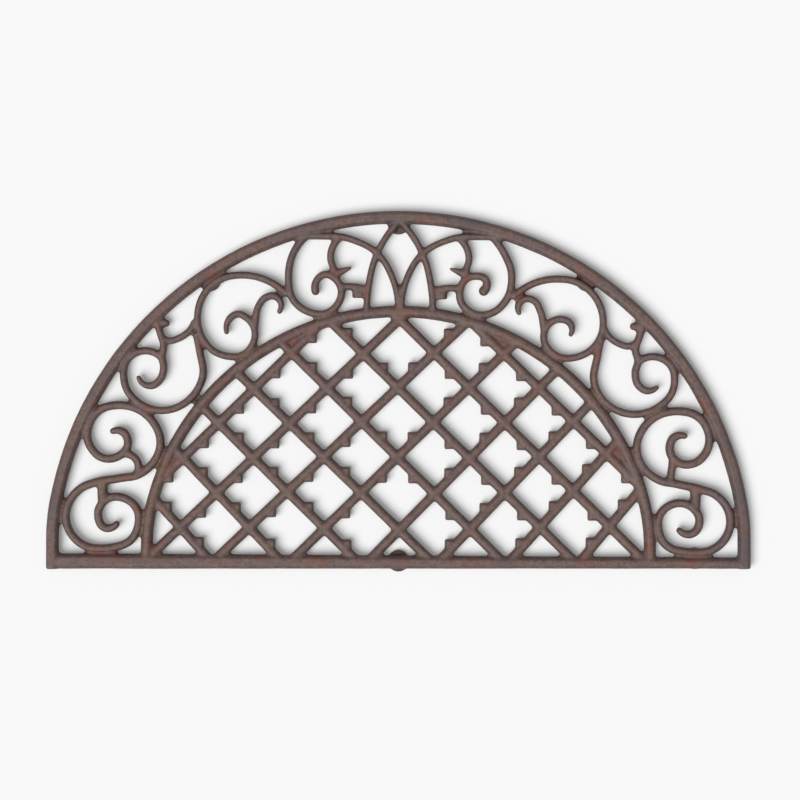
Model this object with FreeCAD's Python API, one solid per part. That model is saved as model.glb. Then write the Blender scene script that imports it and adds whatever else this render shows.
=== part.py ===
import FreeCAD, Part
import math
import os

# Half-moon door mat, one open iron casting that lies flat on round feet.
# Lengths are millimetres. X runs to the right, Y from the straight edge to the crown, Z up.
# While it is built, the centre of the two arches is at X 0, Y 0.

# Frame of the mat: the arched rim, the straight base bar and the inner arch
outer_radius = 360.0
arc_centre_rise = 3.0
rim_width = 12.8
rim_height = 10.0
base_width_left = 15.5
base_width_right = 11.0
base_height = 9.6
band_depth = 83.4
arch_width = 11.6
arch_height = 9.2
haunch_tightening = 58.0
leg_draw_in = 2.5
frame_bevel = 3.4
frame_bevel_drop = 3.6

# Lattice under the inner arch
lattice_pitch = 72.6
lattice_row = 35.3
lattice_width = 9.6
lattice_height = 8.2
lattice_bevel = 2.5
lattice_bevel_drop = 2.8
cusp_side = 9.6
cusp_height = 7.4
cusp_bevel = 1.8
web_height = 5.6
web_reach = 12.4

# How far the cusps on the falling bars lie beyond the middle of a cell side, near the right end of
# the arch, as a share of that side. Nearer the middle of the mat it is less.
cusp_slide_share = 0.17

# How far the feet of single bars lie from an even spacing, as shares of the lattice pitch
rising_drift_shares = (-0.01, -0.062, -0.1, -0.02, 0.067, 0.06, 0.045, 0.037)
falling_drift_shares = (-0.108, -0.124, -0.061, -0.026, -0.03, -0.024, -0.044, -0.028)

# How much steeper than the common slope single bars lie, in degrees
rising_lean_degrees = (0.0, -0.7, -0.9, 0.0, 1.2, 2.0, 3.8, 5.9)
falling_lean_degrees = (3.6, 2.4, 0.7, 0.0, 0.5, 0.3, 0.5, 0.0)

# Scrolls in the band between the inner arch and the rim
scroll_height = 8.4
lower_scroll_width = 8.2
middle_scroll_width = 7.4
upper_scroll_width = 7.0
top_scroll_width = 7.3
pointed_width = 6.5
pointed_height = 8.8
twig_width = 6.8
twig_height = 7.6
branch_width = 7.8
curl_width = 6.9
middle_barb_width = 10.5
top_barb_width = 10.0
lower_link_width = 10.4
top_stub_width = 13.2
strand_bevel_share = 0.27
strand_shoulder_share = 0.64
strand_draft_share = 0.05

# Sides of the bars and arches lean in by this much from the underside to the shoulder
draft = 0.4

# Feet under the rim and the base bar
foot_height = 5.0
foot_radius = 11.2
foot_draft = 1.4
foot_inset_left = 4.4
foot_inset_middle = 1.0
foot_inset_right = 3.8
foot_end_gap = 59.0
shoulder_foot_degrees = 56.5

# Places on the photograph, in its pixels: the arc centre, and the two edges of the scroll band
centre_pixels = (398.0, 565.1)
band_inner_pixels = 259.6
band_outer_pixels = 342.3

# Centre lines of the left-hand scrolls, from end to end
left_pixels = {
    "lower_scroll": (
        (116.5, 523.3), (108, 527.8), (97.7, 512.2), (102, 502.4), (130.5, 501.1), (135.2, 533.3),
        (103, 548), (84, 545), (65.2, 518), (79.4, 488.4), (96, 481.5), (118, 478), (139, 473.8),
        (151.9, 463.6), (159.7, 448), (145.6, 413.8), (127.2, 405.3), (92.4, 416), (90.3, 446.9),
        (102.8, 457.5), (115, 457), (127.5, 440), (122, 431), (112.5, 430.5),
    ),
    "lower_branch": ((121, 453.5), (131, 454.8), (137, 461), (136.5, 473)),
    "lower_link": ((102, 482), (102.5, 502)),
    "middle_loop": (
        (162, 357.8), (129.3, 356.1), (124, 382), (145, 406.2), (201.5, 380), (198.5, 346.2),
        (195.5, 333),
    ),
    "middle_volute": (
        (154.5, 316), (160, 333), (163, 344), (161.8, 356), (163.3, 368), (159.4, 379.5), (151, 385.2),
        (138.2, 377),
    ),
    "middle_crescent": ((158, 331), (165, 339), (181.7, 336), (194.3, 320.6)),
    "middle_barb": ((158, 321), (165.5, 322.5)),
    "upper_scroll": (
        (286.5, 294), (240, 274.4), (222.2, 277.6), (197, 316), (200, 332.8), (219, 353.5),
        (247, 351.5), (247, 317.8), (237, 313.5), (229, 318.5), (226.3, 331.5),
    ),
    "upper_hook": (
        (254.8, 340), (255, 322), (258, 306), (264.6, 297.4), (274, 295.5), (279.2, 311),
    ),
    "top_scroll": (
        (308, 233.5), (295.4, 247.7), (288.2, 273.5), (295, 302), (306, 310.5), (330.4, 310.8),
        (335.4, 278.6), (325, 273.8), (316.8, 279.3), (315.2, 290.7),
    ),
    "top_curl": ((342, 234.8), (330.3, 257.8), (333, 268), (333.5, 277)),
    "top_barb": ((334, 273.5), (350, 267.3)),
    "top_link": ((341.5, 286.4), (353, 286.4), (369, 290)),
    "top_stub": ((358.7, 286), (358.5, 297.3)),
    "pointed_inner": ((291, 235), (310, 235.2), (349, 238), (377.3, 253), (393.5, 281), (398, 314)),
    "pointed_outer": ((366.5, 314), (367.5, 292), (377, 252.5), (400, 219)),
}

# Centre lines of the right-hand scrolls that aren't mirror images of the left-hand ones
right_pixels = {
    "lower_scroll": (
        (679.1, 530), (688.5, 534), (699.2, 518.2), (694.2, 508.9), (666, 507), (661.6, 539.4),
        (693.6, 552), (711.6, 549.5), (730.3, 524), (716.5, 495), (700, 488.7), (678.5, 484),
        (657.9, 479.3), (644.8, 469.4), (637, 454.1), (650.6, 419.6), (669.3, 411.3), (703.9, 422.2),
        (705.6, 452.6), (693.5, 463), (681.3, 463.4), (669.5, 446.1), (674.3, 436.7), (684.4, 435.3),
    ),
    "lower_branch": ((672.5, 459), (671.5, 469), (669.5, 480)),
    "lower_link": ((695.5, 487), (695, 508)),
    "middle_loop": (
        (639, 360.6), (668, 361.8), (673.5, 387.5), (653.6, 409.2), (594.8, 386), (598, 351.5),
        (600.8, 338.2),
    ),
    "middle_volute": (
        (643.5, 321.5), (639.3, 336), (635.4, 349.3), (637.8, 360.5), (635, 373), (638.5, 385),
        (647, 390.3), (656.5, 387),
    ),
    "middle_barb": ((640.5, 326), (633.5, 325.7)),
    "upper_scroll": (
        (512, 297.5), (558.5, 278.3), (576.8, 281.6), (603, 320), (600.5, 336), (580.2, 355.5), (553, 353.5),
        (543.3, 337), (549.5, 322.5), (560.5, 318.7), (570.5, 323.5), (570.5, 334),
    ),
    "upper_hook": (
        (543.7, 343.5), (543.3, 325.5), (539.8, 309.8), (534.3, 300.5), (525.3, 298.3), (518.5, 303.7),
        (518.8, 312.5),
    ),
    "top_scroll": (
        (491, 235), (502.5, 250), (511.5, 275), (503.5, 303), (493, 312), (473.7, 313.5), (459.4, 296),
        (471.4, 276), (486.6, 282), (483.5, 290.5),
    ),
    "top_barb": ((465, 273.4), (450.5, 268.4)),
    "pointed_inner": (
        (508, 236.8), (489, 236.2), (450, 238.6), (422.3, 253.2), (405.5, 281), (401, 314),
    ),
}

# How far the other right-hand ones lie from the mirror images of the left-hand ones, by group
shift_pixels = {
    "middle": (1.5, 5.5),
    "upper": (2.5, 3.5),
    "top": (3.0, 1.5),
    "pointed": (3.0, 0.0),
}

# Widths at the free tips, as shares of the width of the strand
lower_tip_share = 0.75
middle_tip_share = 0.6
upper_tip_share = 0.66
top_tip_shares = {"left": 1.15, "right": 1.35}
middle_barb_tip_share = 0.7
top_barb_tip_share = 0.25

UP = FreeCAD.Vector(0, 0, 1)
sections_per_arc = 3
mark_spacing = 4.0
rim_radius = outer_radius - rim_width / 2
rim_inner_radius = outer_radius - rim_width
arch_outer_radius = outer_radius - (rim_width + band_depth)
arch_radius = arch_outer_radius - arch_width / 2
haunch_radius = arch_radius - haunch_tightening
foot_reach = outer_radius - foot_end_gap
lower_edge_y = -arc_centre_rise
base_middle_y = lower_edge_y + (base_width_left + base_width_right) / 4
lattice_slope = math.atan2(lattice_row, lattice_pitch / 2)


def at(x, y, z=0.0):
    return FreeCAD.Vector(x, y, z)


def turned(vector):
    """A vector turned a quarter turn to the left."""
    return at(-vector.y, vector.x)


def section(width, height, bevel, bevel_drop):
    """Outline of a bar: flat back, drafted sides, a bevel on each side of a flat top."""
    foot = width / 2
    shoulder = foot - draft
    top = shoulder - bevel
    return [(-foot, 0.0), (foot, 0.0), (shoulder, height - bevel_drop), (top, height),
            (-top, height), (-shoulder, height - bevel_drop)]


def strand_section(width, height):
    """Outline of a scroll strand, whose draft and bevel go with its width."""
    half = width / 2
    shoulder = half - width * strand_draft_share
    top = half - width * strand_bevel_share
    rise = height * strand_shoulder_share
    return [(-half, 0.0), (half, 0.0), (shoulder, rise), (top, height), (-top, height), (-shoulder, rise)]


def stand(outline, place, across):
    """An outline stood upright at a place, with its width along the unit vector across."""
    return [place + across * offset + UP * (foot_height + z) for offset, z in outline]


def closed_wire(points):
    return Part.makePolygon(points + points[:1])


def solid_from(faces):
    shell = Part.makeShell(faces)
    shell.sewShape()
    solid = Part.makeSolid(shell)
    if solid.Volume < 0:
        solid.reverse()
    return solid.removeSplitter()


def largest(shape):
    return max(shape.Solids, key=lambda solid: solid.Volume)


# Paths: smooth chains of arcs, each arc given by its start, its end and its direction at the start
def mirrored_direction(direction, start, end):
    """The direction at one end of an arc, from the direction at its other end."""
    chord = (end - start).normalize()
    return (chord * (2 * chord.dot(direction)) - direction).normalize()


def tangents(points):
    """Directions at the points, each that of the circle through a point and its two neighbours."""
    if len(points) == 2:
        straight = (points[1] - points[0]).normalize()
        return [straight, straight]
    found = []
    for start, middle, end in zip(points, points[1:], points[2:]):
        before = middle - start
        after = end - middle
        mixed = before * (after.Length / before.Length) + after * (before.Length / after.Length)
        found.append(mixed.normalize())
    first = mirrored_direction(found[0], points[0], points[1])
    last = mirrored_direction(found[-1], points[-2], points[-1])
    return [first] + found + [last]


def biarc_joint(start, start_way, end, end_way):
    """The place where two tangent arcs between two points meet."""
    chord = end - start
    a = 2 * (1 - start_way.dot(end_way))
    b = chord.dot(start_way + end_way)
    c = chord.dot(chord)
    parallel = a < 1e-9
    reach = c / (2 * b) if parallel else (math.sqrt(b * b + a * c) - b) / a
    return (start + end + (start_way - end_way) * reach) / 2


def arcs_through(points):
    """The path through chosen points, two arcs from each point to the next."""
    ways = tangents(points)
    spans = []
    for i in range(len(points) - 1):
        joint = biarc_joint(points[i], ways[i], points[i + 1], ways[i + 1])
        joint_way = mirrored_direction(ways[i], points[i], joint)
        spans.append((points[i], joint, ways[i]))
        spans.append((joint, points[i + 1], joint_way))
    return spans


def arc_of(start, end, way):
    """Centre and signed angle of an arc, or None for a run that is as good as straight."""
    chord = end - start
    side = turned(way)
    lean = chord.dot(side)
    if abs(lean) < chord.Length * 1e-4:
        return None
    centre = start + side * (chord.dot(chord) / (2 * lean))
    half_turn = math.atan2(lean, chord.dot(way))
    return centre, math.degrees(2 * half_turn)


def point_along(span, share):
    """Place and direction at a share of the way along an arc."""
    start, end, way = span
    arc = arc_of(*span)
    if arc is None:
        return start + (end - start) * share, way
    turn = FreeCAD.Rotation(UP, arc[1] * share)
    return arc[0] + turn.multVec(start - arc[0]), turn.multVec(way)


def part_of(span, low, high):
    """The stretch of an arc between two shares of its length."""
    place, way = point_along(span, low)
    return place, point_along(span, high)[0], way


def marks_on(span):
    """Shares and places along an arc, no further apart than the mark spacing."""
    start, end, _ = span
    arc = arc_of(*span)
    length = (end - start).Length if arc is None else (start - arc[0]).Length * math.radians(abs(arc[1]))
    count = max(1, math.ceil(length / mark_spacing))
    return [(k / count, point_along(span, k / count)[0]) for k in range(count + 1)]


def backwards(spans):
    """The same arcs run from the other end."""
    return [(end, start, mirrored_direction(way, start, end) * -1) for start, end, way in reversed(spans)]


# Solids swept along paths
def side_faces(outline, span):
    """The long faces over one arc."""
    start, end, way = span
    corners = stand(outline, start, turned(way) * -1)
    arc = arc_of(*span)
    faces = []
    for i in range(len(corners)):
        edge = Part.makeLine(corners[i - 1], corners[i])
        faces.append(edge.extrude(end - start) if arc is None else edge.revolve(arc[0], UP, arc[1]))
    return faces


def square_end(outline, place, way):
    return [Part.Face(closed_wire(stand(outline, place, turned(way) * -1)))]


def round_end(outline, place, way):
    """Faces of a rounded end: the outline's right half turned half round about its middle."""
    across = turned(way) * -1
    faces = []
    for first, second in ((1, 2), (2, 3)):
        low, high = stand([outline[first], outline[second]], place, across)
        faces.append(Part.makeLine(low, high).revolve(place, UP, 180))
    for right, left in ((1, 0), (3, 4)):
        reach, z = outline[right]
        right_corner, left_corner = stand([outline[right], outline[left]], place, across)
        nose = place + way * reach + UP * (foot_height + z)
        edges = [Part.makeLine(left_corner, right_corner),
                 Part.Arc(right_corner, nose, left_corner).toShape()]
        faces.append(Part.Face(Part.Wire(edges)))
    return faces


def tapered_faces(spans, width, height, tip_share):
    """Faces over the last arcs of a strand, which narrow evenly to a rounded tip."""
    wires = []
    steps = len(spans) * sections_per_arc
    for step in range(steps + 1):
        index = min(step // sections_per_arc, len(spans) - 1)
        place, way = point_along(spans[index], step / sections_per_arc - index)
        outline = strand_section(width * (1 + (tip_share - 1) * step / steps), height)
        wires.append(closed_wire(stand(outline, place, turned(way) * -1)))
    return Part.makeLoft(wires, False, True).Faces + round_end(outline, place, way)


def swept(spans, outline):
    """A solid along a path, with square ends."""
    faces = []
    for span in spans:
        faces += side_faces(outline, span)
    last_place, last_way = point_along(spans[-1], 1.0)
    faces += square_end(outline, spans[0][0], spans[0][2])
    faces += square_end(outline, last_place, last_way)
    return solid_from(faces)


class Member:
    """A casting member: its solid, and where it runs, so that others can be cut to meet it."""

    def __init__(self, solid, spans=(), outline=(), middle=None, half_width=0.0):
        self.solid = solid
        self.spans = list(spans)
        self.outline = outline
        self.marks = [marks_on(span) for span in self.spans]
        self.places = [place for marks in self.marks for _, place in marks]
        self.half_width = half_width
        if middle is not None:
            self.places.append(middle)
        if outline:
            self.half_width = max(offset for offset, _ in outline)


def stretches_near(neighbour, member):
    """The stretches of a neighbour's path that a member may touch, one list for each unbroken stretch."""
    reach = neighbour.half_width + member.half_width + mark_spacing
    box = FreeCAD.BoundBox(member.solid.BoundBox)
    box.enlarge(reach)
    stretches = []
    joined = False
    for span, marks in zip(neighbour.spans, neighbour.marks):
        close = [share for share, place in marks
                 if box.isInside(at(place.x, place.y, foot_height))
                 and any(place.distanceToPoint(other) < reach for other in member.places)]
        if not close:
            joined = False
            continue
        step = marks[1][0]
        low = max(0.0, close[0] - step)
        high = min(1.0, close[-1] + step)
        if not (joined and low == 0.0):
            stretches.append([])
        stretches[-1].append(part_of(span, low, high))
        joined = high == 1.0
    return stretches


def trim(member, neighbours):
    """Cut a member where it runs into its neighbours, so that they meet face to face."""
    for neighbour in neighbours:
        if not member.solid.BoundBox.intersect(neighbour.solid.BoundBox):
            continue
        tools = [swept(stretch, neighbour.outline) for stretch in stretches_near(neighbour, member)]
        if not neighbour.spans:
            tools = [neighbour.solid]
        for tool in tools:
            if member.solid.BoundBox.intersect(tool.BoundBox):
                member.solid = largest(member.solid.cut(tool))
    return member


def strand(points, width, height, start_tip=None, end_tip=None):
    """A strand of the scrollwork. A tip is a share of the width, or None for a square end."""
    path = arcs_through(points)
    outline = strand_section(width, height)
    spans = list(path)
    faces = []
    if start_tip is not None:
        faces += tapered_faces(backwards(spans[:2]), width, height, start_tip)
        spans = spans[2:]
    else:
        faces += square_end(outline, spans[0][0], spans[0][2])
    if end_tip is not None:
        faces += tapered_faces(spans[-2:], width, height, end_tip)
        spans = spans[:-2]
    else:
        faces += square_end(outline, *point_along(spans[-1], 1.0))
    for span in spans:
        faces += side_faces(outline, span)
    return Member(solid_from(faces), path, outline)


def band_pixels(name, side):
    """The centre line of one of the scrolls on the photograph."""
    if side == "left":
        return left_pixels[name]
    if name in right_pixels:
        return right_pixels[name]
    shift_x, shift_y = shift_pixels[name.split("_")[0]]
    mirror_x = 2 * centre_pixels[0] + shift_x
    return [(mirror_x - x, y + shift_y) for x, y in left_pixels[name]]


def band_place(pixel):
    """A place in the scroll band, from its place on the photograph."""
    across = pixel[0] - centre_pixels[0]
    along = centre_pixels[1] - pixel[1]
    reach = math.hypot(across, along)
    share = (reach - band_inner_pixels) / (band_outer_pixels - band_inner_pixels)
    radius = arch_outer_radius + share * (rim_inner_radius - arch_outer_radius)
    return at(across, along) * (radius / reach)


# Frame
def arched_member(radius, width, height):
    """An arch with a tighter haunch at each foot, whose legs run straight down to the lower edge."""
    outline = section(width, height, frame_bevel, frame_bevel_drop)
    leg_reach = radius - leg_draw_in
    haunch_x = leg_reach - haunch_radius
    haunch_y = math.sqrt((radius - haunch_radius) ** 2 - haunch_x ** 2)
    crown = at(0, radius)
    turn = at(haunch_x, haunch_y).normalize()
    right = [(at(leg_reach, lower_edge_y), at(leg_reach, haunch_y), at(0, 1)),
             (at(leg_reach, haunch_y), turn * radius, at(0, 1)),
             (turn * radius, crown, turned(turn))]
    left = [(at(-start.x, start.y), at(-end.x, end.y), at(-way.x, way.y)) for start, end, way in right]
    spans = right + backwards(left)
    return Member(swept(spans, outline), spans, outline)


def base_bar(rim):
    """The straight bar between the legs of the rim, a little deeper at its left end."""
    wires = []
    for x, width in ((leg_draw_in - rim_radius, base_width_left),
                     (rim_radius - leg_draw_in, base_width_right)):
        outline = section(width, base_height, frame_bevel, frame_bevel_drop)
        wires.append(closed_wire(stand(outline, at(x, lower_edge_y + width / 2), at(0, 1))))
    return Member(largest(Part.makeLoft(wires, True, True).cut(rim.solid)))


# Lattice
def lattice_lines(lean, drift_shares, lean_degrees):
    """Where the bars that lean one way leave the base line, from left to right, and how steeply."""
    slanted_reach = (arch_radius - lattice_width) / math.sin(lattice_slope)
    outside = int(slanted_reach / lattice_pitch + 1 / 2)
    inside = int(arch_radius / lattice_pitch - 1 / 4)
    places = [(number + 1 / 2) * lattice_pitch * lean for number in range(-outside, inside)]
    spare = [0.0] * len(places)
    drifts = [share * lattice_pitch for share in drift_shares] + spare
    slopes = [lattice_slope + math.radians(degrees) for degrees in [*lean_degrees, *spare]]
    return [(place + drift, slope) for place, drift, slope in zip(sorted(places), drifts, slopes)]


def lattice_bar(line, lean):
    """One bar, between the base bar and the arch or from arch to arch. Lean +1 rises to the right."""
    foot_x, slope = line
    way = at(math.cos(slope), math.sin(slope) * lean) * lean
    foot = at(foot_x, base_middle_y)
    along = foot.dot(way)
    half_chord = math.sqrt(arch_radius ** 2 - foot.dot(turned(way)) ** 2)
    low = foot + way * (-half_chord - along)
    high = foot + way * (half_chord - along)
    if low.y < base_middle_y:
        low = foot
    outline = section(lattice_width, lattice_height, lattice_bevel, lattice_bevel_drop)
    span = (low, high, way)
    return Member(swept([span], outline), [span], outline)


def crossing(rising_line, falling_line):
    """Where a rising bar and a falling bar cross, from their feet and their slopes."""
    rising_x, rising_rate = rising_line[0], math.tan(rising_line[1])
    falling_x, falling_rate = falling_line[0], math.tan(falling_line[1])
    x = (rising_x * rising_rate + falling_x * falling_rate) / (rising_rate + falling_rate)
    return at(x, base_middle_y + (x - rising_x) * rising_rate)


def half_lap(upper_bars, lower_bars):
    """Halve crossing members into each other: the first ones stay whole above the middle."""
    level = foot_height + lattice_height / 2
    span = 2 * outer_radius
    below = Part.makeBox(2 * span, 2 * span, level, at(-span, -span))
    above = Part.makeBox(2 * span, 2 * span, level, at(-span, -span, level))
    lower_halves = [bar.solid.common(below) for bar in lower_bars]
    upper_halves = [bar.solid.common(above) for bar in upper_bars]
    for bars, halves in ((upper_bars, lower_halves), (lower_bars, upper_halves)):
        for bar in bars:
            crossed = [half for half in halves if bar.solid.BoundBox.intersect(half.BoundBox)]
            if crossed:
                bar.solid = largest(bar.solid.cut(crossed))


def cusp(place, bar, arch):
    """A square block that stands on a bar and shows one corner of itself in the cell."""
    wires = []
    for half, z in ((cusp_side / 2, 0.0), (cusp_side / 2 - cusp_bevel, cusp_height)):
        wires.append(closed_wire([place + at(sx * half, sy * half, foot_height + z)
                                  for sx, sy in ((-1, -1), (1, -1), (1, 1), (-1, 1))]))
    block = Member(Part.makeLoft(wires, True, True), middle=place, half_width=cusp_side)
    return trim(block, [bar, arch]).solid


def cusp_sides(centre):
    """The group of a cell and the two sides of it that carry cusps: outward, or up or down in the middle."""
    if abs(centre.x) > lattice_pitch / 4:
        out = math.copysign(1, centre.x)
        return ("left" if out < 0 else "right"), ((out, 1), (out, -1))
    second_row = centre.y < base_middle_y + 5 / 2 * lattice_row
    lift = 1 if second_row else -1
    return "middle", ((-1, lift), (1, lift))


def with_outer_lines(bars):
    """The lines of the bars, with one more line beyond each end."""
    lines = sorted(bars)
    before = (lines[0][0] - lattice_pitch, lines[0][1])
    after = (lines[-1][0] + lattice_pitch, lines[-1][1])
    return [before] + lines + [after]


def cusps(rising, falling, arch):
    """Cusps by group, from the bars by their lines. A cell may lack a bar at its edge."""
    groups = {"left": [], "middle": [], "right": []}
    room = arch_radius - arch_width / 2
    rising_lines = with_outer_lines(rising)
    falling_lines = with_outer_lines(falling)
    for upper_left, lower_right in zip(rising_lines, rising_lines[1:]):
        for lower_left, upper_right in zip(falling_lines, falling_lines[1:]):
            left = crossing(upper_left, lower_left)
            bottom = crossing(lower_right, lower_left)
            right = crossing(lower_right, upper_right)
            top = crossing(upper_left, upper_right)
            centre = (left + right) / 2
            if centre.y < base_middle_y + lattice_row / 2:
                continue
            sides = {(-1, 1): (left, top, rising.get(upper_left)),
                     (-1, -1): (left, bottom, falling.get(lower_left)),
                     (1, -1): (bottom, right, rising.get(lower_right)),
                     (1, 1): (top, right, falling.get(upper_right))}
            group, chosen = cusp_sides(centre)
            for sx, sy in chosen:
                start, end, bar = sides[sx, sy]
                slide = cusp_slide_share * centre.x / arch_radius if (sx, sy) == (1, 1) else 0.0
                inward = at(-sx * math.sin(lattice_slope), -sy * math.cos(lattice_slope))
                place = start + (end - start) * (slide + 1 / 2) + inward * (lattice_width / 2)
                if bar and place.Length < room:
                    groups[group].append(cusp(place, bar, arch))
    return groups


def corner_webs(rising, falling, arch):
    """Low webs by side, which fill the corners where two bars cross just short of the arch."""
    webs = {"left": [], "right": []}
    room = arch_radius - arch_width / 2
    for rising_line, rising_bar in rising.items():
        for falling_line, falling_bar in falling.items():
            place = crossing(rising_line, falling_line)
            if not 0 < room - place.Length < web_reach:
                continue
            ends = [min(bar.spans[0][:2], key=place.distanceToPoint) for bar in (rising_bar, falling_bar)]
            triangle = closed_wire([corner + UP * foot_height for corner in [place] + ends])
            spread = max(place.distanceToPoint(end) for end in ends)
            blank = Member(Part.Face(triangle).extrude(UP * web_height), middle=place, half_width=spread)
            web = blank.solid
            for neighbour in (rising_bar, falling_bar, arch):
                for stretch in stretches_near(neighbour, blank):
                    web = web.cut(swept(stretch, neighbour.outline)) if web.Solids else web
            webs["left" if place.x < 0 else "right"] += web.Solids
    return webs


# Feet
def foot(x, y):
    return Part.makeCone(foot_radius - foot_draft, foot_radius, foot_height, at(x, y))


def feet():
    angle = math.radians(shoulder_foot_degrees)
    shoulder = at(math.cos(angle), math.sin(angle)) * rim_inner_radius
    return {
        "foot_base_middle": foot(0, base_middle_y + foot_inset_middle),
        "foot_base_left": foot(-foot_reach, base_middle_y + foot_inset_left),
        "foot_base_right": foot(foot_reach, base_middle_y + foot_inset_right),
        "foot_crown": foot(0, rim_inner_radius),
        "foot_shoulder_left": foot(-shoulder.x, shoulder.y),
        "foot_shoulder_right": foot(shoulder.x, shoulder.y),
    }


# The whole casting
def add_lattice(nodes, frame, arch):
    rising_lines = lattice_lines(1, rising_drift_shares, rising_lean_degrees)
    falling_lines = lattice_lines(-1, falling_drift_shares, falling_lean_degrees)
    rising = {line: lattice_bar(line, 1) for line in rising_lines}
    falling = {line: lattice_bar(line, -1) for line in falling_lines}
    webs = corner_webs(rising, falling, arch)
    for group, blocks in cusps(rising, falling, arch).items():
        nodes["cusps_" + group] = Part.makeCompound(blocks + webs.get(group, []))
    rising_bars = [trim(bar, frame) for bar in rising.values()]
    falling_bars = [trim(bar, frame) for bar in falling.values()]
    half_lap(rising_bars, falling_bars)
    for name, bars in (("rising_bar_", rising_bars), ("falling_bar_", falling_bars)):
        for number, bar in enumerate(bars, 1):
            nodes[name + str(number)] = bar.solid


def add_scrolls(nodes, side, frame, pointed_legs):
    """The scrolls of one side, each one cut to meet what is already there."""
    placed = list(frame)

    def made(name, width, height, start_tip=None, end_tip=None):
        points = [band_place(pixel) for pixel in band_pixels(name, side)]
        return strand(points, width, height, start_tip, end_tip)

    def add(name, members):
        solids = [trim(member, placed).solid for member in members]
        placed.extend(members)
        nodes[name + "_" + side] = solids[0].fuse(solids[1:]).removeSplitter() if solids[1:] else solids[0]

    def scroll(name, width, start_tip=None, end_tip=None):
        add(name, [made(name, width, scroll_height, start_tip, end_tip)])

    def twig(name, width, end_tip=None):
        add(name, [made(name, width, twig_height, None, end_tip)])

    outer_leg = made("pointed_outer", pointed_width, pointed_height)
    inner_leg = made("pointed_inner", pointed_width, pointed_height)
    for leg in (outer_leg, inner_leg):
        trim(leg, pointed_legs + frame)
    half_lap([outer_leg], [inner_leg])
    nodes["pointed_arch_leg_" + side] = outer_leg.solid
    nodes["stem_leg_" + side] = inner_leg.solid
    pointed_legs += [outer_leg, inner_leg]
    placed += pointed_legs

    scroll("top_scroll", top_scroll_width, None, top_tip_shares[side])
    curl = made("top_curl", curl_width, twig_height)
    barb = made("top_barb", top_barb_width, twig_height, None, top_barb_tip_share)
    add("top_curl", [curl, barb])
    twig("top_link", twig_width)
    twig("top_stub", top_stub_width)
    scroll("upper_scroll", upper_scroll_width, None, upper_tip_share)
    scroll("upper_hook", upper_scroll_width, None, upper_tip_share)
    scroll("lower_scroll", lower_scroll_width, lower_tip_share, lower_tip_share)
    twig("lower_branch", branch_width)
    twig("lower_link", lower_link_width)
    scroll("middle_loop", middle_scroll_width)
    scroll("middle_volute", middle_scroll_width, None, middle_tip_share)
    twig("middle_crescent", twig_width)
    twig("middle_barb", middle_barb_width, middle_barb_tip_share)


def build():
    rim = arched_member(rim_radius, rim_width, rim_height)
    bar = base_bar(rim)
    arch = trim(arched_member(arch_radius, arch_width, arch_height), [bar])
    frame = [rim, bar, arch]
    nodes = {"outer_rim": rim.solid, "base_bar": bar.solid, "inner_arch": arch.solid}
    add_lattice(nodes, frame, arch)
    pointed_legs = []
    for side in ("left", "right"):
        add_scrolls(nodes, side, frame, pointed_legs)
    nodes.update(feet())
    return nodes


def main():
    os.makedirs("parts", exist_ok=True)
    nodes = build()
    lowest = min(shape.BoundBox.YMin for shape in nodes.values())
    highest = max(shape.BoundBox.YMax for shape in nodes.values())
    to_middle = at(0, -(lowest + highest) / 2)
    for name, shape in nodes.items():
        shape.translate(to_middle)
        shape.exportStep("parts/" + name + ".step")
        print(name, len(shape.Solids), round(shape.Volume), shape.isValid())


main()
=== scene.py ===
import bpy
import numpy as np
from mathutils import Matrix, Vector, noise
from mathutils.bvhtree import BVHTree


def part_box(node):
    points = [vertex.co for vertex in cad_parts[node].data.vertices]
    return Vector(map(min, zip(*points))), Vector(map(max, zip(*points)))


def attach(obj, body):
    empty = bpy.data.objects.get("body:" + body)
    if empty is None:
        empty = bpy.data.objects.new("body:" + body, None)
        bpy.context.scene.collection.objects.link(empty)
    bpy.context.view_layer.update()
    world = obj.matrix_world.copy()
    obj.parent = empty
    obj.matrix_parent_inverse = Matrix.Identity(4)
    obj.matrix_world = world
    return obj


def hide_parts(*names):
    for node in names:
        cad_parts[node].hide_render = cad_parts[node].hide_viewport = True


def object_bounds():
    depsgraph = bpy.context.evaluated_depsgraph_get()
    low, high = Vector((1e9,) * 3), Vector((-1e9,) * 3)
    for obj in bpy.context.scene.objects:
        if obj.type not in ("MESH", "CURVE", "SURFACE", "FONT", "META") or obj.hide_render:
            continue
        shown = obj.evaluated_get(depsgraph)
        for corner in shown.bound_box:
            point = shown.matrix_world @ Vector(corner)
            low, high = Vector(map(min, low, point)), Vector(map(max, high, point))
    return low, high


# Half-moon iron door mat, seen from straight above. Lengths are metres.
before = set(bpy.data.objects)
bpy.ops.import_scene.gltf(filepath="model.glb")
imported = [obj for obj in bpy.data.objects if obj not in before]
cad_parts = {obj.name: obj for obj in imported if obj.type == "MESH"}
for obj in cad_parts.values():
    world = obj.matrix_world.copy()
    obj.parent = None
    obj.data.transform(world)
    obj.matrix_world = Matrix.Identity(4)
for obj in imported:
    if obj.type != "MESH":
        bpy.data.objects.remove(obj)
cad_low, cad_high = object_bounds()
node_names = sorted(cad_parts)

# The photograph: its size and scale, the middles of the arches and of the view on it, and the height of
# the edges that make its outline
photo_side_pixels = 800
photo_pixel = 0.001016
photo_arc_centre_pixels = (398.0, 565.1)
photo_middle_pixels = (399.7, 399.6)
outline_height = 0.006
arch_radius = 0.360
arc_centre_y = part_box("outer_rim")[1].y - arch_radius

# Skin of the casting: the size of its faces, the gaps that it closes and the rounds that it takes
voxel = 0.0011
gap_filled = 0.0018
fullness = 0.0003
edge_radius = 0.0009
fillet_radius = 0.0013
least_length = 1e-12

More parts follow.
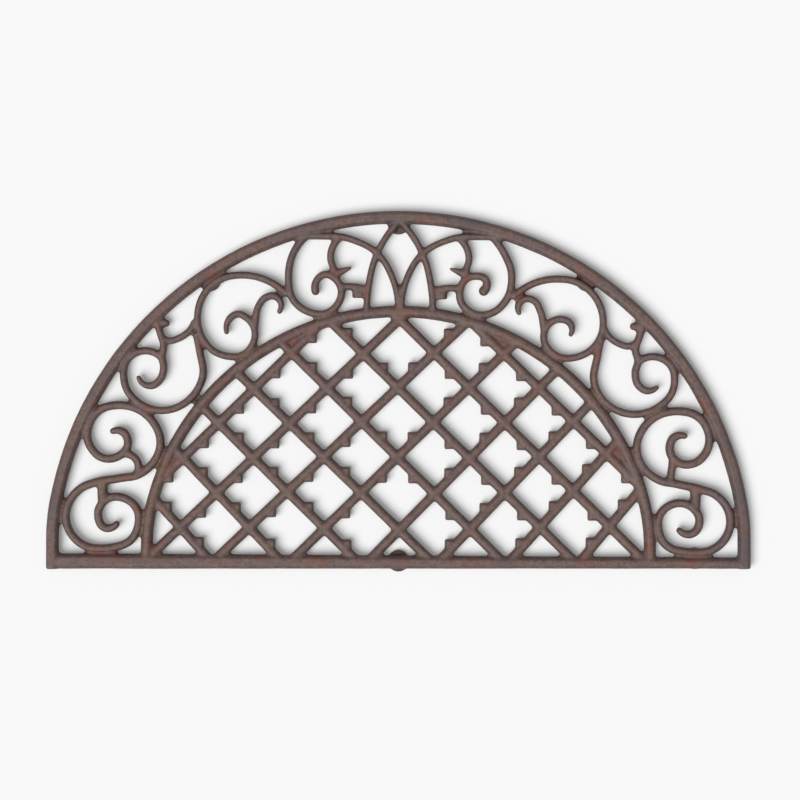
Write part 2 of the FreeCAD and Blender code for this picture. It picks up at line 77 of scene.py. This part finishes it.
# Shaping of the skin: how often, and by what share of the way each time
settling_steps = 3
settling_shares = (0.5, -0.52)
shaping_steps = 70
push_share = 0.8
slide_share = 0.35

# Borders between the members, on the skin
border_steps = 4
outvoting_sides = 3
least_patch_faces = 14

# Uneven surface of a sand casting: how far it strays, and over what length
wander = 0.00022
wander_length = 0.034
ripple = 0.00010
ripple_length = 0.009

# Places on the photograph, each with its reach: red rust, and places painted darker blue-grey, as painted
# shade on the feet and as a darker tone at the right end and elsewhere
rust_pixels = (
    (171, 462, 10), (617, 455, 11), (500, 342, 10), (293, 341, 10), (210, 275, 8), (397, 561, 10),
    (690, 557, 11), (98, 553, 9), (585, 282, 9), (154, 545, 8), (516, 297, 7), (410, 317, 8),
    (645, 545, 9), (240, 352, 8), (560, 352, 9), (318, 560, 10), (470, 562, 9), (331, 272, 8),
    (466, 282, 8), (365, 290, 6), (434, 291, 6), (141, 505, 9), (118, 553, 7), (202, 346, 7),
    (598, 352, 7), (700, 487, 6), (100, 402, 7), (700, 404, 7), (585, 559, 9), (150, 408, 7),
)
shade_and_dark_pixels = (
    (746, 545, 30), (742, 490, 24), (734, 440, 20), (50, 500, 14), (300, 250, 18), (688, 547, 9),
    (205, 280, 9), (583, 288, 9), (399, 225, 8), (398, 553, 7), (470, 225, 14), (505, 560, 12),
)

# Painted shade and wear: shade on faces that lean, low down and in hollows, wear on edges, and how far each
# spreads
side_lean = 0.93
side_spread_steps = 1
low_height = 0.011
hollow_gain = 2.2
hollow_spread_steps = 22
edge_spread_steps = 2

# How much of a colour shows where its mark is full
pale_mottle_share = 0.58
dark_pit_share = 0.68
dark_grain_share = 0.38
# Blue-grey of the dark places: painted shade on the feet, a darker tone elsewhere
shade_and_dark_share = 0.55
placed_rust_share = 0.72
hollow_rust_share = 0.34
warm_rust_share = 0.36
# Painted shade: darker on leaning sides, in hollows and on low parts such as the feet
side_shade_share = 0.58
hollow_shade_share = 0.45
low_shade_share = 0.95
edge_wear_share = 0.15

# Feel of the iron
iron_roughness_range = (0.52, 0.72)
bump_mottle_share = 0.5
bump_strength = 0.45
bump_height = 0.0006

# Light and floor. The camera sees the floor with a light shadow, and it throws back light as white.
white = (1.0, 1.0, 1.0, 1.0)
world_strength = 0.2
world_seen_level = 249
sun_strength = 2.9
sun_spread_degrees = 42.0
sun_rise_degrees = 57.0
sun_from_degrees = 222.0
floor_white = 0.95
floor_seen = 0.80
floor_glow = 0.17
floor_roughness = 0.9
floor_reach = 5.0

# Camera
camera_lens = 120.0
camera_sensor = 36.0


def photo_place(x, y):
    """A place in the model's frame, from a pixel of the photograph."""
    across = (x - photo_arc_centre_pixels[0]) * photo_pixel
    along = (photo_arc_centre_pixels[1] - y) * photo_pixel
    return across, arc_centre_y + along


def linear(*levels):
    """A colour as the shader takes it, from red, green and blue levels of 0 to 255."""
    shares = [level / 255 for level in levels]
    return tuple(((s + 0.055) / 1.055) ** 2.4 if s > 0.04045 else s / 12.92 for s in shares) + (1.0,)


def new_object(name, data):
    """A mesh, light or camera put in the scene."""
    made = bpy.data.objects.new(name, data)
    bpy.context.scene.collection.objects.link(made)
    return made


# Skin: the members of the casting run into each other
def read_points(mesh):
    flat = np.empty(len(mesh.vertices) * 3, dtype=np.float32)
    mesh.vertices.foreach_get("co", flat)
    return flat.reshape(-1, 3).astype(float)


def member_triangles():
    """Points and triangles of all the nodes, and the number of the node that each triangle is on."""
    points, triangles, owners = [], [], []
    first = 0
    for number, name in enumerate(node_names):
        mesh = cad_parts[name].data
        mesh.calc_loop_triangles()
        corners = np.empty(len(mesh.loop_triangles) * 3, dtype=np.int32)
        mesh.loop_triangles.foreach_get("vertices", corners)
        points.append(read_points(mesh))
        triangles.append(corners.reshape(-1, 3) + first)
        owners.append(np.full(len(mesh.loop_triangles), number))
        first += len(mesh.vertices)
    return np.concatenate(points), np.concatenate(triangles), np.concatenate(owners)


def fused_quads(points, triangles):
    """The skin round all the members together, as even quads."""
    mesh = bpy.data.meshes.new("casting")
    mesh.from_pydata(points.tolist(), [], triangles.tolist())
    casting = new_object("casting", mesh)
    remesh = casting.modifiers.new("skin", "REMESH")
    remesh.mode = "VOXEL"
    remesh.voxel_size = voxel
    graph = bpy.context.evaluated_depsgraph_get()
    skin = bpy.data.meshes.new_from_object(casting.evaluated_get(graph))
    skin_points = read_points(skin)
    corners = np.empty(len(skin.loops), dtype=np.int32)
    skin.loops.foreach_get("vertex_index", corners)
    bpy.data.objects.remove(casting)
    bpy.data.meshes.remove(mesh)
    bpy.data.meshes.remove(skin)
    return skin_points, corners.reshape(-1, 4).astype(np.int64)


def islands(count, pairs):
    """For each of so many items, the lowest item that it hangs together with through the pairs."""
    root = np.arange(count)
    while True:
        lowest = np.minimum(root[pairs[:, 0]], root[pairs[:, 1]])
        found = root.copy()
        np.minimum.at(found, root[pairs[:, 0]], lowest)
        np.minimum.at(found, root[pairs[:, 1]], lowest)
        found = found[found]
        found = found[found]
        if (found == root).all():
            return root
        root = found


def outer_shell(points, quads):
    """The largest connected shell, without the bubbles between the members."""
    pairs = np.concatenate([quads[:, [0, 1]], quads[:, [1, 2]], quads[:, [2, 3]]])
    root = islands(len(points), pairs)
    shell = np.bincount(root[quads[:, 0]]).argmax()
    kept = quads[root[quads[:, 0]] == shell]
    used, renumbered = np.unique(kept, return_inverse=True)
    return points[used], renumbered.reshape(-1, 4)


def unit(vectors):
    """The vectors, each with a length of one."""
    return vectors / np.maximum(np.linalg.norm(vectors, axis=1), least_length)[:, None]


def bend_of_round(radius):
    """How far off a point the mean of its four neighbours lies, where two of them follow a round."""
    return voxel * voxel / (4 * radius)


class Skin:
    """An even quad mesh with what shaping it needs."""

    def __init__(self, points, quads):
        self.points = points
        self.quads = quads
        self.starts = quads.ravel()
        self.ends = np.roll(quads, -1, axis=1).ravel()
        self.count = len(points)
        self.valence = np.bincount(self.starts, minlength=self.count)

    def gather(self, index, values):
        """The sum of the values that fall to each point."""
        return np.stack([np.bincount(index, column, self.count) for column in values.T], axis=1)

    def neighbour_mean(self, values):
        """The mean of each point's neighbours. A closed skin runs along each side once each way."""
        return self.gather(self.starts, values[self.ends]) / self.valence[:, None]

    def normals(self):
        corners = self.points[self.quads]
        facing = np.cross(corners[:, 2] - corners[:, 0], corners[:, 3] - corners[:, 1])
        return unit(self.gather(self.starts, np.repeat(facing, 4, axis=0)))

    def bend(self, normals):
        """The way to the mean of each point's neighbours, and how far outside the point that mean lies.

        The second is over zero in a hollow and under zero on an edge.
        """
        lean = self.neighbour_mean(self.points) - self.points
        return lean, (lean * normals).sum(axis=1)

    def spread_out(self, values, steps):
        """One value for each point, evened out with its neighbours."""
        values = values[:, None]
        for _ in range(steps):
            values = (values + self.neighbour_mean(values)) / 2
        return values[:, 0]

    def face_neighbours(self):
        """For each side of each face, the face across it."""
        low = np.minimum(self.starts, self.ends)
        high = np.maximum(self.starts, self.ends)
        key = low * self.count + high
        order = np.argsort(key, kind="stable")
        ordered = key[order]
        twin = np.flatnonzero(ordered[1:] == ordered[:-1])
        across = np.full(len(key), -1)
        across[order[twin]] = order[twin + 1] // 4
        across[order[twin + 1]] = order[twin] // 4
        return across.reshape(-1, 4)


def fill_gaps(points, quads):
    """Close the gaps too narrow for sand to hold: swell the skin, fuse it again and shrink it back.

    The fullness makes up for what the rounding of the edges takes away.
    """
    skin = Skin(points, quads)
    skin.points += skin.normals() * gap_filled / 2
    halves = np.concatenate([quads[:, [0, 1, 2]], quads[:, [0, 2, 3]]])
    skin = Skin(*outer_shell(*fused_quads(skin.points, halves)))
    skin.points -= skin.normals() * (gap_filled / 2 - fullness)
    return skin


def settle(skin):
    """Take the steps of the voxels out of the skin, without thinning it."""
    for _ in range(settling_steps):
        for share in settling_shares:
            skin.points += (skin.neighbour_mean(skin.points) - skin.points) * share


def soften(skin):
    """Round the sharp edges and fill the sharp corners, as molten iron in sand does."""
    edge_limit = bend_of_round(edge_radius)
    fillet_limit = bend_of_round(fillet_radius)
    for _ in range(shaping_steps):
        normals = skin.normals()
        lean, out = skin.bend(normals)
        push = np.minimum(out + edge_limit, 0.0) + np.maximum(out - fillet_limit, 0.0)
        slide = lean - normals * out[:, None]
        skin.points += normals * (push * push_share)[:, None] + slide * slide_share


def roughen(skin):
    """Let the surface wander a little, and keep it inside the box of the model."""
    normals = skin.normals()
    places = [Vector(point) for point in skin.points]
    far = np.array([noise.noise(place / wander_length) for place in places])
    near = np.array([noise.noise(place / ripple_length) for place in places])
    skin.points += normals * (far * wander + near * ripple)[:, None]
    skin.points = np.clip(skin.points, np.array(cad_low), np.array(cad_high))


# Members: the node that each face of the skin stands for
def nearest_members(skin, points, triangles, owners):
    """The number of the node that each face of the skin lies on."""
    tree = BVHTree.FromPolygons(points.tolist(), triangles.tolist())
    centres = skin.points[skin.quads].mean(axis=1)
    found = np.array([tree.find_nearest(centre)[2] for centre in centres])
    return owners[found]


def straighten_borders(member, across):
    """Give each face to a node that has most of the faces beside it, so that no border is frayed."""
    for _ in range(border_steps):
        beside = member[across]
        for candidate in beside.T:
            agree = (beside == candidate[:, None]).sum(axis=1)
            member = np.where(agree >= outvoting_sides, candidate, member)
    return member


def join_strays(member, across):
    """Give each patch of only a few faces to the nodes beside it."""
    faces = np.repeat(np.arange(len(member)), 4)
    pairs = np.stack([faces, across.ravel()], axis=1)
    alike = pairs[member[pairs[:, 0]] == member[pairs[:, 1]]]
    root = islands(len(member), alike)
    stray = np.bincount(root, minlength=len(member))[root] < least_patch_faces
    while stray.any():
        before = stray.sum()
        for beside in across.T:
            joining = stray & ~stray[beside]
            member[joining] = member[beside[joining]]
            stray = stray & ~joining
        if stray.sum() == before:
            break
    return member


# Pieces: the skin is parted between the members, and each part is closed inside the metal
def chains_of(sides):
    """Closed chains of points, from the open sides of a piece."""
    following = {}
    for start, end in sides:
        following.setdefault(start, []).append(end)
    chains = []
    while following:
        chain = [next(iter(following))]
        while True:
            ends = following[chain[-1]]
            place = ends.pop()
            if not ends:
                del following[chain[-1]]
            if place == chain[0]:
                break
            chain.append(place)
        chains.append(chain)
    return chains


def closing_fans(points, sides):
    """A point in the middle of each opening, and the triangles round it that close the opening."""
    middles, fans = [], []
    for chain in chains_of(sides):
        middle = len(points) + len(middles)
        middles.append(points[chain].mean(axis=0))
        fans += [(after, before, middle) for before, after in zip(chain, chain[1:] + chain[:1])]
    return middles, fans


def part_of_skin(name, skin, faces, is_open, normals, tints):
    """One member as a closed mesh. Its seams are shaded as if the skin ran on."""
    used, local = np.unique(skin.quads[faces], return_inverse=True)
    quads = local.reshape(-1, 4)
    starts = quads[is_open]
    ends = np.roll(quads, -1, axis=1)[is_open]
    points = skin.points[used]
    middles, fans = closing_fans(points, zip(starts.tolist(), ends.tolist()))
    every_point = np.concatenate([points, middles]) if middles else points
    corner_normals = normals[used][quads.ravel()]
    if fans:
        corners = every_point[np.array(fans)]
        facing = unit(np.cross(corners[:, 1] - corners[:, 0], corners[:, 2] - corners[:, 0]))
        corner_normals = np.concatenate([corner_normals, np.repeat(facing, 3, axis=0)])
    mesh = bpy.data.meshes.new(name)
    mesh.from_pydata(every_point.tolist(), [], quads.tolist() + fans)
    mesh.polygons.foreach_set("use_smooth", np.ones(len(mesh.polygons), dtype=bool))
    mesh.normals_split_custom_set(corner_normals.tolist())
    for key, values in tints.items():
        tint = mesh.attributes.new(key, "FLOAT", "POINT")
        padded = np.concatenate([values[used], np.zeros(len(middles))])
        tint.data.foreach_set("value", padded.astype(np.float32))
    return new_object(name, mesh)


def near_places(skin, places):
    """How near each point of the skin is to one of the places, from 0 to 1."""
    near = np.zeros(skin.count)
    for x, y, reach in places:
        place_x, place_y = photo_place(x, y)
        apart = np.hypot(skin.points[:, 0] - place_x, skin.points[:, 1] - place_y)
        near = np.maximum(near, np.exp(-((apart / (reach * photo_pixel)) ** 2)))
    return near


def surface_tints(skin, normals):
    """Hollows, bare edges, sides, low parts, rust, and dark places (painted shade on the feet, a darker
    tone elsewhere), from 0 to 1 on the points of the skin.
    """
    _, out = skin.bend(normals)
    sharpest = bend_of_round(fillet_radius)
    hollow = skin.spread_out(np.clip(out / sharpest, 0.0, 1.0), hollow_spread_steps)
    edge = skin.spread_out(np.clip(-out / sharpest, 0.0, 1.0), edge_spread_steps)
    side = np.clip((side_lean - np.abs(normals[:, 2])) / side_lean, 0.0, 1.0)
    low = np.clip((low_height - skin.points[:, 2]) / low_height, 0.0, 1.0)
    return {
        "hollow": np.clip(hollow * hollow_gain, 0.0, 1.0),
        "edge": edge,
        "side": skin.spread_out(side, side_spread_steps),
        "low": np.sqrt(low),
        "rust": near_places(skin, rust_pixels),
        "dark": near_places(skin, shade_and_dark_pixels),
    }


# Cast iron, brown with rust
class Nodes:
    """Short calls for the nodes of one material or world."""

    def __init__(self, tree):
        self.tree = tree

    def add(self, kind, **settings):
        node = self.tree.nodes.new(kind)
        for key, value in settings.items():
            setattr(node, key, value)
        return node

    def join(self, output, socket):
        self.tree.links.new(output, socket)

    def noise(self, scale, detail, roughness=0.5, warp=0.0):
        node = self.add("ShaderNodeTexNoise")
        node.inputs["Scale"].default_value = scale
        node.inputs["Detail"].default_value = detail
        node.inputs["Roughness"].default_value = roughness
        node.inputs["Distortion"].default_value = warp
        self.join(self.add("ShaderNodeTexCoord").outputs["Object"], node.inputs["Vector"])
        return node.outputs["Fac"]

    def span(self, value, low, high, to_low=0.0, to_high=1.0):
        """A value from one range brought to another."""
        node = self.add("ShaderNodeMapRange")
        for key, number in (("From Min", low), ("From Max", high), ("To Min", to_low), ("To Max", to_high)):
            node.inputs[key].default_value = number
        self.join(value, node.inputs["Value"])
        return node.outputs["Result"]

    def marks(self, low, high, **pattern):
        """Marks from noise: none where it is at the low level, and full where it is at the high one."""
        return self.span(self.noise(**pattern), low, high)

    def math(self, operation, first, second):
        node = self.add("ShaderNodeMath", operation=operation)
        for socket, value in zip(node.inputs, (first, second)):
            if isinstance(value, float):
                socket.default_value = value
            else:
                self.join(value, socket)
        return node.outputs["Value"]

    def times(self, first, second):
        return self.math("MULTIPLY", first, second)

    def largest(self, first, *others):
        for other in others:
            first = self.math("MAXIMUM", first, other)
        return first

    def tint(self, name):
        return self.add("ShaderNodeAttribute", attribute_name=name).outputs["Fac"]

    def mix(self, share, first, second):
        """One colour with a share of another laid over it."""
        node = self.add("ShaderNodeMix", data_type="RGBA")
        for key, value in (("Factor_Float", share), ("A_Color", first), ("B_Color", second)):
            socket = next(s for s in node.inputs if s.identifier == key)
            if isinstance(value, tuple):
                socket.default_value = value
            else:
                self.join(value, socket)
        return next(s for s in node.outputs if s.identifier == "Result_Color")


def iron_colour(nodes, mottle):
    """Brown and mauve iron, mottled and pitted, with rust, painted shade on the sides, in the deep places
    and low down, darker blue-grey places and worn edges.
    """
    brown = linear(93, 68, 57)
    mauve = linear(83, 64, 65)
    pale = linear(140, 118, 110)
    dark = linear(42, 32, 31)
    shade_and_dark_grey = linear(64, 60, 67)
    red_rust = linear(114, 54, 38)

    patches = nodes.marks(scale=38.0, detail=3.0, warp=0.6, low=0.40, high=0.60)
    pits = nodes.marks(scale=330.0, detail=3.0, roughness=0.6, low=0.52, high=0.70)
    grain = nodes.marks(scale=900.0, detail=3.0, roughness=0.6, low=0.35, high=0.65)
    warm = nodes.marks(scale=60.0, detail=4.0, roughness=0.6, warp=0.8, low=0.52, high=0.70)
    rust_marks = nodes.marks(scale=110.0, detail=4.0, roughness=0.65, low=0.34, high=0.60)
    hollow_marks = nodes.marks(scale=75.0, detail=3.0, low=0.42, high=0.66)
    hollow = nodes.tint("hollow")

    base = nodes.mix(patches, brown, mauve)
    base = nodes.mix(nodes.times(mottle, pale_mottle_share), base, pale)
    base = nodes.mix(nodes.times(pits, dark_pit_share), base, dark)
    base = nodes.mix(nodes.times(grain, dark_grain_share), base, dark)
    # Painted shade on the feet, and a darker blue-grey at the right end and other listed places
    base = nodes.mix(nodes.times(nodes.tint("dark"), shade_and_dark_share), base, shade_and_dark_grey)
    rusty = nodes.largest(
        nodes.times(nodes.times(nodes.tint("rust"), rust_marks), placed_rust_share),
        nodes.times(nodes.times(hollow, hollow_marks), hollow_rust_share),
        nodes.times(warm, warm_rust_share))
    base = nodes.mix(rusty, base, red_rust)
    # Painted shade: darker on leaning sides, in hollows and low down
    painted_shade = nodes.largest(
        nodes.times(nodes.tint("side"), side_shade_share),
        nodes.times(hollow, hollow_shade_share),
        nodes.times(nodes.tint("low"), low_shade_share))
    base = nodes.mix(painted_shade, base, dark)
    return nodes.mix(nodes.times(nodes.tint("edge"), edge_wear_share), base, pale)


def cast_iron():
    material = bpy.data.materials.new("cast_iron")
    material.use_nodes = True
    nodes = Nodes(material.node_tree)
    shader = material.node_tree.nodes["Principled BSDF"]
    mottle = nodes.marks(scale=150.0, detail=4.0, roughness=0.6, low=0.36, high=0.66)
    nodes.join(iron_colour(nodes, mottle), shader.inputs["Base Color"])
    nodes.join(nodes.span(mottle, 0.0, 1.0, *iron_roughness_range), shader.inputs["Roughness"])

    fine_grain = nodes.noise(scale=750.0, detail=4.0, roughness=0.65)
    bump = nodes.add("ShaderNodeBump")
    bump.inputs["Strength"].default_value = bump_strength
    bump.inputs["Distance"].default_value = bump_height
    nodes.join(nodes.math("ADD", fine_grain, nodes.times(mottle, bump_mottle_share)), bump.inputs["Height"])
    nodes.join(bump.outputs["Normal"], shader.inputs["Normal"])
    return material


def make_casting(material):
    """All the members, each a piece that stands for its node."""
    points, triangles, owners = member_triangles()
    skin = fill_gaps(*outer_shell(*fused_quads(points, triangles)))
    settle(skin)
    soften(skin)
    across = skin.face_neighbours()
    member = nearest_members(skin, points, triangles, owners)
    member = join_strays(straighten_borders(member, across), across)
    roughen(skin)
    normals = skin.normals()
    tints = surface_tints(skin, normals)
    for number, name in enumerate(node_names):
        faces = np.flatnonzero(member == number)
        is_open = member[across[faces]] != number
        piece = part_of_skin("cast_" + name, skin, faces, is_open, normals, tints)
        piece.data.materials.append(material)
        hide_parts(name)
        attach(piece, "root")


# Floor, light and camera
def show_or_light(tree, seen, lit, output):
    """The camera, glosses and glass show one shader, and the other one lights the object."""
    nodes = Nodes(tree)
    rays = nodes.add("ShaderNodeLightPath").outputs
    showing = nodes.largest(rays["Is Camera Ray"], rays["Is Glossy Ray"], rays["Is Transmission Ray"])
    mix = nodes.add("ShaderNodeMixShader")
    nodes.join(showing, mix.inputs[0])
    nodes.join(lit.outputs[0], mix.inputs[1])
    nodes.join(seen.outputs[0], mix.inputs[2])
    nodes.join(mix.outputs[0], output.inputs["Surface"])


def make_floor():
    mesh = bpy.data.meshes.new("floor")
    corners = [(-floor_reach, -floor_reach), (floor_reach, -floor_reach),
               (floor_reach, floor_reach), (-floor_reach, floor_reach)]
    mesh.from_pydata([(x, y, cad_low.z) for x, y in corners], [], [(0, 1, 2, 3)])
    floor = new_object("floor", mesh)
    material = bpy.data.materials.new("floor")
    material.use_nodes = True
    tree = material.node_tree
    lit = tree.nodes["Principled BSDF"]
    seen = tree.nodes.new("ShaderNodeBsdfPrincipled")
    for shader, shade in ((lit, floor_white), (seen, floor_seen)):
        shader.inputs["Base Color"].default_value = (shade, shade, shade, 1.0)
        shader.inputs["Roughness"].default_value = floor_roughness
        shader.inputs["Specular IOR Level"].default_value = 0.0
    seen.inputs["Emission Color"].default_value = white
    seen.inputs["Emission Strength"].default_value = floor_glow
    show_or_light(tree, seen, lit, tree.nodes["Material Output"])
    floor.data.materials.append(material)


def make_world():
    world = bpy.data.worlds.new("studio")
    world.use_nodes = True
    tree = world.node_tree
    lit = tree.nodes["Background"]
    lit.inputs["Color"].default_value = white
    lit.inputs["Strength"].default_value = world_strength
    seen = tree.nodes.new("ShaderNodeBackground")
    seen.inputs["Color"].default_value = linear(world_seen_level, world_seen_level, world_seen_level)
    show_or_light(tree, seen, lit, tree.nodes["World Output"])
    bpy.context.scene.world = world


def make_sun():
    data = bpy.data.lights.new("sun", "SUN")
    data.energy = sun_strength
    data.angle = np.radians(sun_spread_degrees)
    rise, turn = np.radians(sun_rise_degrees), np.radians(sun_from_degrees)
    towards = Vector((np.cos(turn) * np.cos(rise), np.sin(turn) * np.cos(rise), np.sin(rise)))
    sun = new_object("sun", data)
    sun.rotation_euler = towards.to_track_quat("Z", "Y").to_euler()


def make_camera():
    data = bpy.data.cameras.new("camera")
    data.lens = camera_lens
    data.sensor_width = camera_sensor
    camera = new_object("camera", data)
    distance = photo_side_pixels * photo_pixel * camera_lens / camera_sensor
    camera.location = (*photo_place(*photo_middle_pixels), cad_low.z + outline_height + distance)
    bpy.context.scene.camera = camera


make_camera()
make_casting(cast_iron())
make_floor()
make_world()
make_sun()
bpy.context.scene.view_settings.view_transform = "Standard"
bpy.context.view_layer.update()
